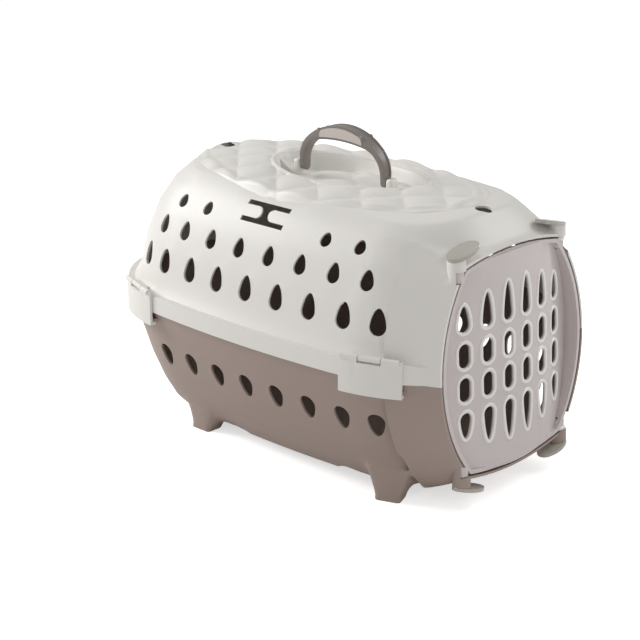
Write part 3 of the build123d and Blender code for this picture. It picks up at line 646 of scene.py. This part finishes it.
# Lower half shell
# The taupe tub with its four feet: the same polypropylene, coloured through, with the same satin skin.
# It is moulded in one, with fillets where the feet run out of the wall and floor.

FOOT_PLACES = [(170.0, 105.0), (-99.0, 109.0)]
FOOT_REACH = 42.0
FOOT_ANGLE = 12.0
FOOT_Z = (5.0, 44.0)
FOOT_EASE = {"reach": 17.0, "fine": 3.5, "rounds": 60, "most": 3.5}
SOLE_Z = 2.0


def foot_crease(edge):
    """Whether an edge is where a foot meets the tub's wall or floor."""
    middle = edge_middle(edge)
    angle = math.degrees(edge.calc_face_angle(0.0))
    near = any(math.hypot(middle.x - x, abs(middle.y) - y) < FOOT_REACH for x, y in FOOT_PLACES)
    return near and angle > FOOT_ANGLE and is_within(middle.z, FOOT_Z)


def on_sole(vert):
    """Whether a point is on the flat sole of a foot."""
    return vert.co.z < SOLE_Z * MM


# The same satin moulding with taupe pigment, a touch duller than the cover
taupe_polypropylene = moulded_plastic("taupe_polypropylene", "a5948b", "9f8e85",
                                      roughness=0.45, grain=0.9, bump=0.05)
tub = merged_copy("lower_shell")
egg_mouths(tub, VENT_ROUND, EGG_LENGTH)
ease_creases(tub, collar_crease, on_hard_edge, **COLLAR_EASE)
ease_creases(tub, foot_crease, on_sole, **FOOT_EASE)
round_mouths(tub)
place_copy(tub, "lower_shell", "shell", taupe_polypropylene)


# Door
# Clear, slightly smoked polystyrene, glossy from a polished mould, with a rounded lip at each hole.
# It hangs by two ears on the left pins and snaps over the right ones.

DOOR_HOLE_ROUND = (30.0, 130.0)
DOOR_DROP_LENGTH = 0.97
FRONT_FACING = 0.7
# The lip's section: how far out from the hole's edge, and how far up from the door's face
LIP_SECTION = [(-0.5, -0.6), (0.0, 0.8), (1.4, 1.3), (2.9, 1.0), (3.8, -0.3)]
CLEAR_FLOW_MARK = 71.4
CLEAR_SPECK = 0.03
POLYSTYRENE_IOR = 1.57


def clear_plastic(name, colour, shade, passes, roughness):
    """Polished clear moulding with a faint milkiness and flow marks."""
    material, output = new_material(name)
    coords = add_node(material, "ShaderNodeTexCoord")
    flow = add_node(material, "ShaderNodeTexNoise",
                    {"Scale": 1.0 / (CLEAR_FLOW_MARK * MM), "Detail": 2.0, "Roughness": 0.4},
                    {"Vector": coords.outputs["Object"]})
    tint = add_node(material, "ShaderNodeMix", {"data_type": "RGBA", 6: linear(colour), 7: linear(shade)},
                    {"Factor": flow.outputs["Fac"]})
    gloss = add_node(material, "ShaderNodeMapRange",
                     {"To Min": roughness - CLEAR_SPECK, "To Max": roughness + CLEAR_SPECK},
                     {"Value": flow.outputs["Fac"]})
    skin = add_node(material, "ShaderNodeBsdfPrincipled",
                    {"IOR": POLYSTYRENE_IOR, "Transmission Weight": passes},
                    {"Base Color": tint.outputs[2], "Roughness": gloss.outputs["Result"]})
    material.node_tree.links.new(skin.outputs[0], output.inputs["Surface"])
    return material


def in_order(run):
    """Points of a closed run of edges, in order round it."""
    around = {}
    for edge in run:
        for vert in edge.verts:
            around.setdefault(vert.index, []).append(edge.other_vert(vert))
    order, before = [run[0].verts[0]], None
    while True:
        ahead = [vert for vert in around[order[-1].index] if vert is not before]
        before = order[-1]
        if ahead[0] is order[0] and len(order) > 2:
            return order
        order.append(ahead[0])


def add_lip(lips, order):
    """Carry the lip's section round the mouth of one hole."""
    centre = middle_of(order)
    rings = []
    for i, vert in enumerate(order):
        front = [face.normal for face in vert.link_faces if face.normal.x > FRONT_FACING]
        normal = sum(front, Vector()).normalized()
        along = (order[(i + 1) % len(order)].co - order[i - 1].co).normalized()
        outward = along.cross(normal)
        if outward.dot(vert.co - centre) < 0:
            outward = -outward
        places = [vert.co + (outward * out + normal * up) * MM for out, up in LIP_SECTION]
        rings.append([lips.verts.new(place) for place in places])
    for one, two in zip(rings, rings[1:] + rings[:1]):
        for i in range(len(LIP_SECTION)):
            j = (i + 1) % len(LIP_SECTION)
            lips.faces.new((one[i], two[i], two[j], one[j]))


# The smoke throws most light back milky and lets some through, so the panel reads pale on the dark inside
smoked_polystyrene = clear_plastic("smoked_polystyrene", "e8dfdd", "e0d6d4", passes=0.2, roughness=0.1)
# The lips are the door's plastic, painted near white and passing less light: a painted highlight for
# their rounded edges
lip_painted_highlight = clear_plastic("lip_painted_highlight", "fbf8f6", "f5f1ef", passes=0.1, roughness=0.12)
pane = merged_copy("door")
egg_mouths(pane, DOOR_HOLE_ROUND, DOOR_DROP_LENGTH)
lips = bmesh.new()
for run in closed_edges(pane, DOOR_HOLE_ROUND):
    order = in_order(run)
    facing = sum((face.normal * face.calc_area() for face in order[0].link_faces), Vector())
    if facing.x >= 0:
        add_lip(lips, order)
bmesh.ops.recalc_face_normals(lips, faces=lips.faces)
soften(lips)
lips_object = finish_object("door_hole_lips", lips)
lips_object.data.materials.append(lip_painted_highlight)
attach(lips_object, "door")
place_copy(pane, "door", "door", smoked_polystyrene)


# Door pins
# Four clear pins of polystyrene, each moulded in one with its sloping oval thumb plate.
# They pass through the door's ears into the bosses at the collar's corners, the lower two from below.

# The plates are thick and lie over the bosses, which gives them a greyer tone than the door's
pin_polystyrene = clear_plastic("pin_polystyrene", "d3cfc6", "c8c3b9", passes=0.3, roughness=0.1)
for name in ("pin_top_right", "pin_top_left", "pin_bottom_right", "pin_bottom_left"):
    place_copy(merged_copy(name), name, name, pin_polystyrene)


# Carry handle
# A grey taupe polypropylene bow, moulded in one with its two pivot stubs, which snap into the seats.
# Its edges are broken, and four low studs stand on the rim where the inlay ends.

HANDLE_X = 9.0
BOW_EDGE = 0.5
STUD_OUT = 30.5
STUD_SIDE = 5.0
STUD_Z = 330.0
STUD_SIZE = (3.4, 3.4, 0.9)
STUD_SLOPE = 0.8
STUD_CAST = 100.0

# A smoother mould than the shells' gives the bow soft but clear highlights along its curve
handle_plastic = moulded_plastic("grey_polypropylene", "857d77", "7f7771",
                                 roughness=0.3, grain=0.7, bump=0.03)
bow = merged_copy("carry_handle")
bow_skin = BVHTree.FromBMesh(bow)
studs = bmesh.new()
for side, face in ((-1, -1), (-1, 1), (1, -1), (1, 1)):
    above = Vector((HANDLE_X + side * STUD_OUT, face * STUD_SIDE, STUD_Z)) * MM
    start = above + Vector((0, face, STUD_SLOPE)) * (STUD_CAST * MM)
    place, normal = bow_skin.ray_cast(start, Vector((0, -face, -STUD_SLOPE)).normalized())[:2]
    turn = normal.to_track_quat("Z", "Y").to_matrix().to_4x4()
    shape = Matrix.Translation(place) @ turn @ Matrix.Diagonal([size * MM for size in STUD_SIZE] + [1.0])
    bmesh.ops.create_uvsphere(studs, u_segments=32, v_segments=16, radius=1.0, matrix=shape)
soften(studs)
studs_object = finish_object("grip_studs", studs)
studs_object.data.materials.append(handle_plastic)
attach(studs_object, "handle")
bmesh.ops.bevel(bow, geom=[edge for edge in bow.edges if is_hard(edge)], offset=BOW_EDGE * MM,
                affect="EDGES", segments=2, profile=0.5, material=-1, clamp_overlap=True)
place_copy(bow, "carry_handle", "handle", handle_plastic)


# Grip inlay
# The pale blank piece that is pressed into the middle of the bow, where the hand holds it.
# It is a separate moulding of the same family of plastic, in a lighter colour.

# A slightly grained surface leaves the inlay flatter and duller than the bow round it
inlay_plastic = moulded_plastic("pale_inlay", "cfc5bf", "c9bfb9", roughness=0.4, grain=0.7, bump=0.03)
place_copy(merged_copy("grip_insert"), "grip_insert", "handle", inlay_plastic)
